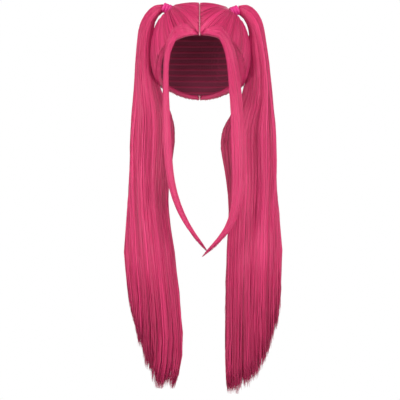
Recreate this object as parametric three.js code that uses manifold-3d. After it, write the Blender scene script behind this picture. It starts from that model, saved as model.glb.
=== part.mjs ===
// A pigtail wig: a net cap with a false-skin parting, two halves of hair combed over it into
// high side pigtails, an elastic tie round each pigtail, and two long locks that frame the face.
// Millimetres. +Z is up and the face looks along -Y. Left and right are as seen from the front.
// The origin is where the top of the head touches the inside of the cap.

import * as THREE from "three";
import { mergeVertices } from "three/addons/utils/BufferGeometryUtils.js";
import Module from "manifold-3d";

const wasm = await Module();
wasm.setup();

// The head that the wig fits
const headHalfWidth = 79;
const headHalfDepth = 99;
const headHeight = 105; // from the head's widest level to its top
const clearance = 0.3;

// The net cap, and the strip of false skin that shows in the parting
const capWall = 1.5;
const capInset = 2.5; // degrees by which the hair hides the cap's edge
const stripHalfWidth = 1.2;
const stripHeight = 7;

// The hair combed over the cap, by its thickness
const partingHair = 9;
const hairEdge = 6;
const tieSwell = 14.5; // the extra under a tie, where the hair is gathered
const crownRidge = 1.1;

// The hair's lower edge: degrees down from the top of the head, each 15 degrees round the head
// from the middle of the forehead to the nape
const hairlineStep = 15;
const hairline = [62, 62.5, 66, 71.5, 87, 108, 118, 122, 124, 127, 131, 134, 135];

// The elastic ties
const tieLength = 17;
const tieRadius = 9.8;
const tieBore = 8;
const tieStandOff = 26.5; // from the cap to the tie's middle
const tieBack = 4;
const tieCoils = 3;
const neckLength = 1; // bare hair between the combed hair and the tie

// The pigtails
const pigtailDrop = 760; // from the tie down to the tips
const pigtailWidth = 110;
const pigtailDepth = 68;
const pigtailRidge = 0.07; // share of the half width by which its locks stand proud
const wispLength = 95;
const wispRadius = 11;

// The locks that frame the face
const lockDrop = 440; // from the hairline to the tips
const lockThickness = 7;
const lockRidge = 0.14;

const sides = [
  { name: "left", sign: -1, tiePolar: 32.5, tieTilt: 19, sideHair: 13, lockForward: 58 },
  { name: "right", sign: 1, tiePolar: 35.5, tieTilt: 20, sideHair: 17, lockForward: 66 },
];

// A pigtail's outer and inner edge, row by row from the tie to the tips.
// tied: 1 where a row keeps its place from the tie, 0 where it keeps it from the head's flank.
// outer, inner: outward of that place, as shares of pigtailWidth.
// outerDown, innerDown: 0 at the tie, 1 at the side hair's lower edge, 2 at the tips.
const pigtailEdgeColumns = ["tied", "outer", "outerDown", "inner", "innerDown"];
const pigtailEdges = {
  left: [
    [1.0, 0.07, -0.06, 0.05, 0.06],
    [0.9, 0.13, -0.03, 0.07, 0.09],
    [0.7, 0.18, 0.02, 0.07, 0.14],
    [0.45, 0.2, 0.09, 0.06, 0.2],
    [0.25, 0.23, 0.17, 0.06, 0.27],
    [0.1, 0.26, 0.28, 0.07, 0.37],
    [0.0, 0.28, 0.43, 0.07, 0.49],
    [0.0, 0.32, 0.7, 0.07, 0.72],
    [0.0, 0.33, 0.98, 0.01, 0.98],
    [0.0, 0.36, 1.06, -0.16, 1.06],
    [0.0, 0.39, 1.11, -0.34, 1.1],
    [0.0, 0.4, 1.16, -0.4, 1.15],
    [0.0, 0.41, 1.23, -0.36, 1.23],
    [0.0, 0.43, 1.33, -0.27, 1.33],
    [0.0, 0.48, 1.43, -0.26, 1.42],
    [0.0, 0.51, 1.52, -0.35, 1.52],
    [0.0, 0.53, 1.62, -0.43, 1.62],
    [0.0, 0.51, 1.68, -0.49, 1.71],
    [0.0, 0.41, 1.74, -0.52, 1.78],
    [0.0, 0.28, 1.81, -0.55, 1.85],
    [0.0, 0.16, 1.89, -0.54, 1.91],
    [0.0, 0.04, 1.93, -0.51, 1.95],
    [0.0, -0.12, 1.96, -0.42, 1.97],
  ],
  right: [
    [1.0, 0.07, -0.1, 0.06, 0.04],
    [0.9, 0.15, -0.08, 0.07, 0.07],
    [0.7, 0.2, -0.03, 0.06, 0.12],
    [0.45, 0.24, 0.05, 0.06, 0.19],
    [0.25, 0.27, 0.14, 0.05, 0.28],
    [0.1, 0.29, 0.27, 0.05, 0.38],
    [0.0, 0.32, 0.43, 0.06, 0.52],
    [0.0, 0.38, 0.69, 0.08, 0.72],
    [0.0, 0.41, 0.98, 0.09, 0.99],
    [0.0, 0.45, 1.06, -0.04, 1.06],
    [0.0, 0.47, 1.11, -0.32, 1.1],
    [0.0, 0.48, 1.15, -0.5, 1.15],
    [0.0, 0.5, 1.23, -0.49, 1.22],
    [0.0, 0.51, 1.32, -0.37, 1.32],
    [0.0, 0.56, 1.41, -0.33, 1.41],
    [0.0, 0.6, 1.51, -0.37, 1.51],
    [0.0, 0.63, 1.62, -0.39, 1.62],
    [0.0, 0.63, 1.71, -0.4, 1.72],
    [0.0, 0.54, 1.77, -0.4, 1.8],
    [0.0, 0.4, 1.84, -0.4, 1.87],
    [0.0, 0.25, 1.9, -0.41, 1.93],
    [0.0, 0.02, 1.95, -0.4, 1.97],
    [0.0, -0.23, 1.98, -0.38, 1.99],
  ],
};

// The same rows from front to back, as shares of pigtailDepth: the section's depth, how far its
// middle lies behind the tie, and how far its inner edge lies behind its middle.
const pigtailDepthColumns = ["depth", "back", "skew"];
const pigtailDepths = [
  [0.28, 0.0, 0.0],
  [0.33, 0.0, 0.0],
  [0.38, 0.0, 0.0],
  [0.42, 0.0, 0.0],
  [0.47, 0.01, 0.02],
  [0.53, 0.02, 0.03],
  [0.59, 0.04, 0.05],
  [0.68, 0.07, 0.06],
  [0.76, 0.1, 0.08],
  [0.86, 0.16, 0.14],
  [0.94, 0.22, 0.22],
  [1.0, 0.28, 0.3],
  [1.0, 0.28, 0.3],
  [0.95, 0.23, 0.2],
  [0.88, 0.17, 0.1],
  [0.86, 0.13, 0.05],
  [0.86, 0.1, 0.03],
  [0.84, 0.08, 0.0],
  [0.78, 0.07, 0.0],
  [0.68, 0.06, 0.0],
  [0.54, 0.06, 0.0],
  [0.38, 0.06, 0.0],
  [0.2, 0.06, 0.0],
];

// A wisp's thickness along it, as a share of wispRadius: it swells out of the pigtail and tapers
const wispTaper = [
  [0.0, 0.2],
  [0.25, 0.85],
  [0.5, 1.0],
  [0.75, 0.72],
  [0.9, 0.38],
  [1.0, 0.07],
];

// The wisps at a pigtail's tips: outward and down as in pigtailEdges, back as in pigtailDepths
const wispColumns = ["outer", "down", "back"];
const wisps = {
  left: [
    [0.24, 1.86, 0.1],
    [0.1, 1.93, 0.0],
    [-0.04, 1.98, 0.12],
    [-0.12, 2.0, 0.04],
    [-0.36, 2.0, 0.1],
    [-0.43, 1.98, 0.0],
  ],
  right: [
    [0.38, 1.86, 0.1],
    [0.27, 1.92, 0.0],
    [0.13, 1.96, 0.12],
    [-0.02, 1.98, 0.02],
    [-0.19, 2.0, 0.1],
    [-0.36, 2.01, 0.04],
  ],
};

// A face lock's outer and inner edge from its root beside the parting to its tip: outward as
// shares of the flank's distance from the middle, down from the hairline as shares of lockDrop
const lockEdgeColumns = ["outer", "outerDown", "inner", "innerDown"];
const lockEdges = {
  left: [
    [0.15, -0.018, 0.1, 0.0],
    [0.22, -0.048, 0.2, 0.005],
    [0.34, -0.055, 0.34, 0.011],
    [0.49, -0.043, 0.44, 0.016],
    [0.61, -0.014, 0.51, 0.027],
    [0.7, 0.027, 0.57, 0.055],
    [0.74, 0.08, 0.64, 0.09],
    [0.77, 0.17, 0.67, 0.17],
    [0.78, 0.29, 0.65, 0.29],
    [0.79, 0.4, 0.62, 0.4],
    [0.76, 0.51, 0.59, 0.51],
    [0.71, 0.63, 0.56, 0.62],
    [0.61, 0.73, 0.46, 0.72],
    [0.48, 0.81, 0.31, 0.8],
    [0.26, 0.89, 0.14, 0.87],
    [0.03, 0.945, -0.05, 0.927],
    [-0.16, 0.978, -0.18, 0.968],
  ],
  right: [
    [0.19, -0.018, 0.15, 0.0],
    [0.25, -0.041, 0.27, 0.005],
    [0.37, -0.045, 0.37, 0.011],
    [0.49, -0.027, 0.41, 0.018],
    [0.61, 0.014, 0.46, 0.041],
    [0.71, 0.068, 0.53, 0.086],
    [0.79, 0.14, 0.57, 0.15],
    [0.83, 0.22, 0.59, 0.22],
    [0.87, 0.32, 0.62, 0.32],
    [0.91, 0.47, 0.64, 0.47],
    [0.94, 0.605, 0.66, 0.605],
    [0.93, 0.695, 0.65, 0.686],
    [0.87, 0.775, 0.63, 0.755],
    [0.75, 0.855, 0.56, 0.823],
    [0.61, 0.905, 0.43, 0.89],
    [0.39, 0.95, 0.27, 0.927],
    [0.07, 1.0, 0.07, 0.99],
  ],
};

// The same rows: 1 where the lock lies on the head and 0 where it hangs free, and its thickness
// as a share of lockThickness
const lockDepthColumns = ["hug", "thick"];
const lockDepths = [
  [1.0, 0.5],
  [1.0, 0.8],
  [1.0, 1.0],
  [1.0, 1.0],
  [0.8, 1.0],
  [0.6, 1.0],
  [0.45, 1.0],
  [0.25, 1.0],
  [0.1, 1.0],
  [0.0, 1.0],
  [0.0, 1.0],
  [0.0, 0.95],
  [0.0, 0.9],
  [0.0, 0.8],
  [0.0, 0.65],
  [0.0, 0.45],
  [0.0, 0.15],
];

const hairMaterial = new THREE.MeshStandardMaterial({ color: 0xcd416c, roughness: 0.45 });
const tieMaterial = new THREE.MeshStandardMaterial({ color: 0xe8358a, roughness: 0.6 });
const capMaterial = new THREE.MeshStandardMaterial({ color: 0x8c2a4c, roughness: 0.9 });
const skinMaterial = new THREE.MeshStandardMaterial({ color: 0xd09aa4, roughness: 0.8 });

const { lerp, degToRad, radToDeg } = THREE.MathUtils;
const headMiddle = new THREE.Vector3(0, 0, -headHeight);

// Half the width of the wig over the hair beside the ear
function flankOf(side) {
  return headHalfWidth + capWall + side.sideHair;
}

// A table as a smooth function of its row number, giving named values
function smoothTable(columns, rows) {
  const curve = new THREE.CubicInterpolant(rows.map((_, row) => row), rows.flat(), columns.length);
  return (at) => {
    const values = [...curve.evaluate(at)];
    return Object.fromEntries(columns.map((column, index) => [column, values[index]]));
  };
}

// A closed solid from points and triangles, turned to face outward
function solidFrom(points, triangles) {
  const volume = triangles.reduce((sum, [a, b, c]) => {
    return sum + points[a].dot(new THREE.Vector3().crossVectors(points[b], points[c]));
  }, 0);
  const faces = volume > 0 ? triangles : triangles.map(([a, b, c]) => [a, c, b]);
  return new wasm.Manifold(
    new wasm.Mesh({
      numProp: 3,
      vertProperties: new Float32Array(points.flatMap((point) => point.toArray())),
      triVerts: new Uint32Array(faces.flat()),
    }),
  );
}

// The solid inside a closed three.js geometry
function solidOf(geometry) {
  const bare = geometry.clone();
  bare.deleteAttribute("normal");
  bare.deleteAttribute("uv");
  const merged = mergeVertices(bare, 1e-4);
  const { position } = merged.attributes;
  const corners = merged.index.array;
  const points = [];
  for (let i = 0; i < position.count; i++) {
    points.push(new THREE.Vector3().fromBufferAttribute(position, i));
  }
  const triangles = [];
  for (let i = 0; i < corners.length; i += 3) {
    triangles.push([corners[i], corners[i + 1], corners[i + 2]]);
  }
  return solidFrom(points, triangles);
}

function middleOf(points) {
  const sum = points.reduce((total, point) => total.add(point), new THREE.Vector3());
  return sum.divideScalar(points.length);
}

// A closed solid through rings of points, whose ends close on one point each
function loft(rings, start = middleOf(rings[0]), end = middleOf(rings.at(-1))) {
  const around = rings[0].length;
  const points = [...rings.flat(), start, end];
  const startIndex = points.length - 2;
  const endIndex = points.length - 1;
  const lastRing = (rings.length - 1) * around;
  const triangles = [];
  for (let i = 0; i < around; i++) {
    const next = (i + 1) % around;
    for (let ring = 0; ring < lastRing; ring += around) {
      triangles.push([ring + i, ring + next, ring + around + next]);
      triangles.push([ring + i, ring + around + next, ring + around + i]);
    }
    triangles.push([startIndex, next, i]);
    triangles.push([endIndex, lastRing + i, lastRing + next]);
  }
  return solidFrom(points, triangles);
}

function meshOf(name, solid, material) {
  const { vertProperties, triVerts } = solid.getMesh();
  const geometry = new THREE.BufferGeometry();
  geometry.setAttribute("position", new THREE.BufferAttribute(vertProperties, 3));
  geometry.setIndex(new THREE.BufferAttribute(triVerts, 1));
  geometry.computeVertexNormals();
  const mesh = new THREE.Mesh(geometry, material);
  mesh.name = name;
  return mesh;
}

// The head, grown all round
function headShape(grow) {
  const ball = new THREE.SphereGeometry(1, 26, 14).rotateX(Math.PI / 2);
  ball.scale(headHalfWidth + grow, headHalfDepth + grow, headHeight + grow);
  return solidOf(ball.translate(0, 0, headMiddle.z));
}

// Distance from the head's middle to the cap's outside
function capRadius(direction) {
  const across = direction.x / (headHalfWidth + capWall);
  const along = direction.y / (headHalfDepth + capWall);
  const up = direction.z / (headHeight + capWall);
  return 1 / Math.hypot(across, along, up);
}

// A direction from the head's middle, by degrees down from its top and round from the forehead
function headDirection(polar, azimuth) {
  const down = degToRad(polar);
  const round = degToRad(azimuth);
  return new THREE.Vector3(
    Math.sin(down) * Math.sin(round),
    -Math.sin(down) * Math.cos(round),
    Math.cos(down),
  );
}

const hairlineCurve = new THREE.CubicInterpolant(
  hairline.map((_, row) => row * hairlineStep),
  hairline,
  1,
);

// Degrees down to the hair's edge, at degrees round from the forehead on either side
function hairlinePolar(azimuth) {
  return hairlineCurve.evaluate(Math.min(Math.abs(azimuth), 180))[0];
}

// The part of space inside the hair's edge, as a wide cone from the head's middle
function insideHairline(inset) {
  const reach = 2 * (headHalfWidth + headHalfDepth);
  const around = 48;
  const rings = [1, 0.75, 0.5, 0.25].map((share) => {
    return Array.from({ length: around }, (_, i) => {
      const azimuth = (360 * i) / around - 180;
      const polar = share * (hairlinePolar(azimuth) - inset);
      return headDirection(polar, azimuth).multiplyScalar(reach).add(headMiddle);
    });
  });
  const top = new THREE.Vector3(0, 0, reach).add(headMiddle);
  return loft(rings, headMiddle.clone(), top);
}

// A slab over the whole head, along the parting
function partingSlab(halfWidth) {
  const slab = new THREE.BoxGeometry(2 * halfWidth, 4 * headHalfDepth, 4 * headHeight);
  return solidOf(slab.translate(0, 0, headMiddle.z));
}

// Where a side's tie sits: its middle, its axis outward, and the two directions across it
function tieFrame(side) {
  const polar = degToRad(side.tiePolar);
  const tilt = degToRad(side.tieTilt);
  const direction = new THREE.Vector3(side.sign * Math.sin(polar), 0, Math.cos(polar));
  const middle = direction.clone().multiplyScalar(capRadius(direction) + tieStandOff);
  middle.add(headMiddle);
  middle.y = tieBack;
  return {
    middle,
    axis: new THREE.Vector3(side.sign * Math.cos(tilt), 0, Math.sin(tilt)),
    under: new THREE.Vector3(side.sign * Math.sin(tilt), 0, -Math.cos(tilt)),
    back: new THREE.Vector3(0, 1, 0),
  };
}

// A point on a circle about the tie's axis, at an angle from its underside towards the back
function tiePoint(frame, along, radius, angle) {
  return frame.middle
    .clone()
    .addScaledVector(frame.axis, along)
    .addScaledVector(frame.under, radius * Math.cos(angle))
    .addScaledVector(frame.back, radius * Math.sin(angle));
}

// A round bar along the tie's axis
function tieBar(frame, radius, from, to) {
  const around = 24;
  const rings = [from, to].map((along) => {
    return Array.from({ length: around }, (_, i) => {
      return tiePoint(frame, along, radius, (2 * Math.PI * i) / around);
    });
  });
  return loft(rings);
}

// The direction part of the way from one unit vector to another
function turnBetween(from, to, share) {
  const angle = from.angleTo(to);
  return from
    .clone()
    .multiplyScalar(Math.sin((1 - share) * angle) / Math.sin(angle))
    .addScaledVector(to, Math.sin(share * angle) / Math.sin(angle));
}

// One half of the combed hair before it is hollowed: rays run round the tie, and on each one the
// hair is combed from the parting or the hair's edge up to the tie
function combedHair(side, grow) {
  const frame = tieFrame(side);
  const neckAlong = -(tieLength / 2 + neckLength);
  const neck = tiePoint(frame, neckAlong, 0, 0);
  const toNeck = neck.clone().sub(headMiddle).normalize();
  const toBack = frame.back.clone().addScaledVector(toNeck, -toNeck.y).normalize();
  const toUnder = toBack.clone().cross(toNeck).multiplyScalar(side.sign);

  const rayAngle = (direction) => Math.atan2(direction.dot(toBack), direction.dot(toUnder));
  const rayDirection = (angle, away) => {
    const across = toUnder.clone().multiplyScalar(Math.cos(angle));
    across.addScaledVector(toBack, Math.sin(angle));
    return toNeck.clone().multiplyScalar(Math.cos(away)).addScaledVector(across, Math.sin(away));
  };
  const isOutside = (direction) => {
    const polar = radToDeg(Math.acos(direction.z));
    const azimuth = radToDeg(Math.atan2(direction.x, -direction.y));
    return side.sign * direction.x < 0 || polar > hairlinePolar(azimuth);
  };
  const rayEnd = (angle) => {
    let inside = 0;
    let outside = Math.PI / 60;
    while (!isOutside(rayDirection(angle, outside))) {
      inside = outside;
      outside += Math.PI / 60;
    }
    for (let halving = 0; halving < 20; halving++) {
      const half = (inside + outside) / 2;
      if (isOutside(rayDirection(angle, half))) outside = half;
      else inside = half;
    }
    return rayDirection(angle, inside);
  };

  // The rays: some end on the parting and the rest on the hair's edge
  const frontCorner = rayAngle(headDirection(hairlinePolar(0), 0));
  const backCorner = rayAngle(headDirection(hairlinePolar(180), 180));
  const partingRays = 24;
  const edgeRays = 20;
  const angles = [];
  for (let i = 0; i < partingRays; i++) {
    angles.push(lerp(backCorner, frontCorner + 2 * Math.PI, i / partingRays));
  }
  for (let i = 0; i < edgeRays; i++) {
    angles.push(lerp(frontCorner, backCorner, i / edgeRays));
  }

  const rays = angles.map((angle, index) => {
    const start = rayEnd(angle);
    const neckPoint = tiePoint(frame, neckAlong, tieRadius, angle).sub(headMiddle);
    const end = neckPoint.clone().normalize();
    const nearParting = Math.exp(-Math.abs(start.x) * 5);
    const underTie = 0.5 + 0.5 * Math.cos(angle);
    const edgeHair = lerp(hairEdge, side.sideHair, Math.pow(underTie, 2));
    return {
      start,
      end,
      startHair: lerp(edgeHair, partingHair, nearParting),
      endHair: neckPoint.length() - capRadius(end),
      swell: tieSwell * Math.pow(underTie, 0.8),
      ridge: crownRidge * Math.cos((index * Math.PI) / 2),
    };
  });

  const shares = [0, 0.08, 0.17, 0.27, 0.38, 0.5, 0.62, 0.73, 0.83, 0.91, 0.96, 1];
  const rings = shares.map((share) => {
    return rays.map((ray) => {
      const direction = turnBetween(ray.start, ray.end, share);
      const hair =
        lerp(ray.startHair, ray.endHair, Math.pow(share, 1.6)) +
        ray.swell * share * (1 - Math.pow(share, 24)) +
        ray.ridge * Math.sqrt(Math.sin(Math.PI * share) + 1e-9);
      return direction.multiplyScalar(capRadius(direction) + hair + grow).add(headMiddle);
    });
  });
  return loft(rings, headMiddle.clone(), neck);
}

function crownHair(side) {
  const frame = tieFrame(side);
  const tieEnd = tieLength / 2 + clearance;
  const bundle = tieBore - clearance;
  return combedHair(side, 0)
    .subtract(headShape(capWall + clearance))
    .subtract(partingSlab(stripHalfWidth + clearance))
    .subtract(tieBar(frame, tieRadius + clearance, -tieEnd, 2 * tieLength))
    .add(tieBar(frame, bundle, -tieLength, -clearance / 2));
}

function netCap() {
  return headShape(capWall).intersect(insideHairline(capInset)).subtract(headShape(0));
}

function partingStrip() {
  return headShape(capWall + clearance + stripHeight)
    .intersect(partingSlab(stripHalfWidth))
    .intersect(insideHairline(0))
    .subtract(headShape(capWall + clearance));
}

// A wound elastic: a sleeve whose outside swells at each coil
function hairTie(side) {
  const frame = tieFrame(side);
  const steps = 3 * tieCoils;
  const groove = 0.5 * (tieRadius - tieBore);
  const profile = [new THREE.Vector2(tieBore, -tieLength / 2)];
  for (let i = 0; i <= steps; i++) {
    const share = i / steps;
    const swell = Math.sqrt(Math.abs(Math.sin(Math.PI * share * tieCoils)));
    const radius = tieRadius - groove * (1 - swell);
    profile.push(new THREE.Vector2(radius, lerp(-tieLength / 2, tieLength / 2, share)));
  }
  profile.push(new THREE.Vector2(tieBore, tieLength / 2), profile[0].clone());
  const sleeve = new THREE.LatheGeometry(profile, 20);
  const upright = new THREE.Vector3(0, 1, 0);
  sleeve.applyQuaternion(new THREE.Quaternion().setFromUnitVectors(upright, frame.axis));
  return solidOf(sleeve.translate(...frame.middle));
}

// Heights beside a pigtail: 0 at the tie, 1 at the side hair's lower edge, 2 at the tips
function pigtailHeight(side, frame, down) {
  const edge = headDirection(hairlinePolar(90), 90);
  const edgeHeight = headMiddle.z + edge.z * (capRadius(edge) + side.sideHair);
  if (down < 1) return lerp(frame.middle.z, edgeHeight, down);
  return lerp(edgeHeight, frame.middle.z - pigtailDrop, down - 1);
}

// A closed section about a middle, ridged like hair that hangs in locks
function ridgedSection(middle, across, through, ridge, ridges, around, turn) {
  return Array.from({ length: around }, (_, i) => {
    const angle = (2 * Math.PI * i) / around;
    const swell = 1 + ridge * Math.cos(ridges * angle + turn);
    return middle
      .clone()
      .addScaledVector(across, swell * Math.cos(angle))
      .addScaledVector(through, swell * Math.sin(angle));
  });
}

function wisp(side, frame, row) {
  const [outer, down, back] = wispColumns.map((_, column) => row[column]);
  const tip = new THREE.Vector3(
    side.sign * (flankOf(side) + outer * pigtailWidth),
    tieBack + back * pigtailDepth,
    pigtailHeight(side, frame, down),
  );
  const root = tip.clone().add(new THREE.Vector3(0, 0, wispLength));
  const rings = wispTaper.map(([along, thick]) => {
    const middle = root.clone().lerp(tip, along);
    const across = new THREE.Vector3(thick * wispRadius, 0, 0);
    const through = new THREE.Vector3(0, thick * wispRadius, 0);
    return ridgedSection(middle, across, through, 0, 0, 6, 0);
  });
  return loft(rings);
}

function pigtail(side) {
  const frame = tieFrame(side);
  const bundle = tieBore - clearance;
  const bundleEnd = tieLength / 2 + neckLength;
  const exit = tiePoint(frame, bundleEnd, 0, 0);
  const edges = smoothTable(pigtailEdgeColumns, pigtailEdges[side.name]);
  const depths = smoothTable(pigtailDepthColumns, pigtailDepths);
  const around = 28;
  const ridges = 7;

  const rings = [clearance / 2, bundleEnd].map((along) => {
    const middle = tiePoint(frame, along, 0, 0);
    const across = frame.under.clone().multiplyScalar(-bundle);
    const through = frame.back.clone().multiplyScalar(bundle);
    return ridgedSection(middle, across, through, 0, ridges, around, 0);
  });

  const rows = pigtailDepths.length - 1;
  const sections = 26;
  for (let i = 0; i <= sections; i++) {
    const row = (rows * i) / sections;
    const edge = edges(row);
    const { depth, back, skew } = depths(row);
    const place = lerp(flankOf(side), Math.abs(exit.x), edge.tied);
    const edgePoint = (outward, down) => {
      const x = side.sign * (place + outward * pigtailWidth);
      return new THREE.Vector3(x, 0, pigtailHeight(side, frame, down));
    };
    const outer = edgePoint(edge.outer, edge.outerDown);
    const inner = edgePoint(edge.inner, edge.innerDown);
    const middle = outer.clone().add(inner).multiplyScalar(0.5);
    middle.y = tieBack + back * pigtailDepth;
    const across = outer.clone().sub(inner).multiplyScalar(0.5);
    across.y = -skew * pigtailDepth;
    const through = new THREE.Vector3(0, (depth * pigtailDepth) / 2, 0);
    const ridge = pigtailRidge * Math.min(1, row / 6);
    rings.push(ridgedSection(middle, across, through, ridge, ridges, around, row * 0.15));
  }

  return wisps[side.name].reduce((whole, row) => whole.add(wisp(side, frame, row)), loft(rings));
}

function faceLock(side) {
  const edges = smoothTable(lockEdgeColumns, lockEdges[side.name]);
  const depths = smoothTable(lockDepthColumns, lockDepths);
  const forehead = headDirection(hairlinePolar(0), 0);
  const hairlineHeight = headMiddle.z + forehead.z * (capRadius(forehead) + hairEdge);
  const seat = capWall + (hairEdge + partingHair) / 2 + lockThickness;

  // A point of the lock's middle surface, laid on the head or hung in front of the ears
  const lockPoint = (outward, down, hug) => {
    const x = side.sign * outward * flankOf(side);
    const z = hairlineHeight - down * lockDrop;
    const across = x / (headHalfWidth + seat);
    const up = (z - headMiddle.z) / (headHeight + seat);
    const onHead = -(headHalfDepth + seat) * Math.sqrt(Math.max(0.05, 1 - across ** 2 - up ** 2));
    return new THREE.Vector3(x, lerp(-side.lockForward, onHead, hug), z);
  };

  const sections = 21;
  const rows = lockDepths.length - 1;
  const pairs = Array.from({ length: sections + 1 }, (_, i) => {
    const edge = edges((rows * i) / sections);
    const { hug, thick } = depths((rows * i) / sections);
    const outer = lockPoint(edge.outer, edge.outerDown, hug);
    const inner = lockPoint(edge.inner, edge.innerDown, hug);
    return { outer, inner, middle: middleOf([outer, inner]), thick };
  });
  const rings = pairs.map((pair, i) => {
    const before = pairs[Math.max(0, i - 1)].middle;
    const after = pairs[Math.min(sections, i + 1)].middle;
    const across = pair.outer.clone().sub(pair.inner).multiplyScalar(0.5);
    const through = across.clone().cross(after.clone().sub(before)).normalize();
    through.multiplyScalar((pair.thick * lockThickness) / 2);
    return ridgedSection(pair.middle, across, through, lockRidge, 5, 16, 0);
  });
  return loft(rings).subtract(combedHair(side, clearance));
}

const wig = new THREE.Group();
wig.add(meshOf("cap", netCap(), capMaterial));
wig.add(meshOf("parting_strip", partingStrip(), skinMaterial));
for (const side of sides) {
  wig.add(meshOf(`crown_hair_${side.name}`, crownHair(side), hairMaterial));
  wig.add(meshOf(`hair_tie_${side.name}`, hairTie(side), tieMaterial));
  wig.add(meshOf(`pigtail_${side.name}`, pigtail(side), hairMaterial));
  wig.add(meshOf(`face_lock_${side.name}`, faceLock(side), hairMaterial));
}

export default wig;
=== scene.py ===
"""A pigtail wig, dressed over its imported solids.

Fibre strands are combed over both halves of the crown, gathered by wound elastics and hung as
pigtails, with a long lock on each side of the face. Under them lie a net cap and the strip of
false skin that shows in the parting. Metres. +Z is up and the face looks along -Y.
"""

import math

import bpy
import numpy as np
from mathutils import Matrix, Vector
from mathutils.bvhtree import BVHTree


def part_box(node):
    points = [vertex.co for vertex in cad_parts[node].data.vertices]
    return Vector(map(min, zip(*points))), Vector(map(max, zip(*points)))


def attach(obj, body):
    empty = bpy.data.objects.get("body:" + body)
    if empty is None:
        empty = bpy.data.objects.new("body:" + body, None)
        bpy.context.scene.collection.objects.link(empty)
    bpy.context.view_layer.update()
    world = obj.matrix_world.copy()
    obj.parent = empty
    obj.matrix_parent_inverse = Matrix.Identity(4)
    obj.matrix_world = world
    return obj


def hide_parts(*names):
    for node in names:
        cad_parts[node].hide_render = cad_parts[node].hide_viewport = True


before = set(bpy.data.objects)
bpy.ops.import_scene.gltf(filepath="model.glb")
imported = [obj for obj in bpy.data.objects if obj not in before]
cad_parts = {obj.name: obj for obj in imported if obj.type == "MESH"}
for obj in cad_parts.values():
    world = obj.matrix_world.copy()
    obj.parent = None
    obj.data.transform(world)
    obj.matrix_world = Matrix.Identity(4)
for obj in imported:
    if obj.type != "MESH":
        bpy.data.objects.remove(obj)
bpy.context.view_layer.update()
bpy.ops.object.select_all(action="DESELECT")
chance = np.random.default_rng(7)

SIDES = (("left", -1.0), ("right", 1.0))
BACK = np.array((0.0, 1.0, 0.0))

# The head that the wig fits: its middle, and the cap's outside measured from it
HEAD_MIDDLE = np.array((0.0, 0.0, -0.105))
CAP_HALF_SIZES = np.array((0.0805, 0.1005, 0.1065))

# Pigtails
PIGTAIL_PIVOT_DROP = 0.075
PIGTAIL_FALL = -0.50
PIGTAIL_CORE_END = -0.715
SIDE_FULLNESS = {"left": (0.009, 0.012, 0.045), "right": (0.013, 0.040, 0.080)}
ARCH_FULLNESS = 0.0035
STRAND_STOPS = (
    (0.0, 0.013, 0.026, 0.039, 0.052, 0.066, 0.082, 0.100, 0.122, 0.150)
    + (0.185, 0.212, 0.238, 0.264, 0.290, 0.320, 0.360, 0.420, 0.500)
)
PIGTAIL_STRANDS = 1300
PIGTAIL_CLUMPS = 230
PIGTAIL_STRAND = 0.00110

# Locks beside the face
LOCK_PIVOT_OUT = 0.025
LOCK_ROOT_LOW = np.array((0.004, -0.1010, -0.0550))
LOCK_ROOT_HIGH = np.array((0.012, -0.0955, -0.0425))
LOCK_PIVOT_HEIGHT = -0.100
LOCK_STRANDS = 300
LOCK_CLUMPS = 40
LOCK_STRAND = 0.00085

# Combed hair over the crown
COMB_LINES = 240
COMB_STEPS = 34
CROWN_STRANDS = 1300
CROWN_CLUMPS = 220
CROWN_STRAND = 0.0010

RING_STEPS = 64


# ---- Small helpers ----


def unit(vectors):
    return vectors / np.maximum(np.linalg.norm(vectors, axis=-1, keepdims=True), 1e-12)


def mix(start, end, share):
    return start * (1.0 - share) + end * share


def ease(value, low, high):
    """0 below low, 1 above high, and a smooth rise between them."""
    share = np.clip((value - low) / (high - low), 0.0, 1.0)
    return share * share * (3.0 - 2.0 * share)


def smoothed(values, width, wrap=False):
    """Values evened out along their first axis, over about width neighbours."""
    reach = int(math.ceil(2.5 * width))
    weights = np.exp(-0.5 * (np.arange(-reach, reach + 1) / width) ** 2)
    weights /= weights.sum()
    edge = "wrap" if wrap else "edge"
    padding = [(reach, reach)] + [(0, 0)] * (values.ndim - 1)
    padded = np.pad(values, padding, mode=edge)
    total = np.zeros(values.shape)
    for shift, weight in enumerate(weights):
        total += weight * padded[shift : shift + len(values)]
    return total


def wander(rows, distances, waves):
    """Slow random drift along each strand: waves gives (size, wavelength) pairs."""
    drift = np.zeros((rows, distances.shape[-1]))
    for size, wavelength in waves:
        phase = chance.uniform(0.0, 2.0 * math.pi, (rows, 1))
        stretch = chance.uniform(0.7, 1.4, (rows, 1))
        strength = chance.normal(0.0, 1.0, (rows, 1))
        drift += size * strength * np.sin(2.0 * math.pi * distances / (wavelength * stretch) + phase)
    return drift


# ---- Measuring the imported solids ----


def solid_arrays(node):
    """A node's points and triangles."""
    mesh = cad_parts[node].data
    points = np.zeros(len(mesh.vertices) * 3, np.float32)
    mesh.vertices.foreach_get("co", points)
    mesh.calc_loop_triangles()
    corners = np.zeros(len(mesh.loop_triangles) * 3, np.int32)
    mesh.loop_triangles.foreach_get("vertices", corners)
    return points.reshape(-1, 3).astype(float), corners.reshape(-1, 3)


def ray_tree(node):
    points, corners = solid_arrays(node)
    return BVHTree.FromPolygons([Vector(p) for p in points], [tuple(int(i) for i in c) for c in corners])


def cut_points(points, corners, place, normal):
    """Where a plane crosses the edges of a solid's triangles."""
    height = (points - place) @ normal
    found = []
    for first, second in ((0, 1), (1, 2), (2, 0)):
        start, end = corners[:, first], corners[:, second]
        crosses = height[start] * height[end] < 0.0
        start, end = start[crosses], end[crosses]
        share = (height[start] / (height[start] - height[end]))[:, None]
        found.append(mix(points[start], points[end], share))
    return np.concatenate(found)


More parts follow.
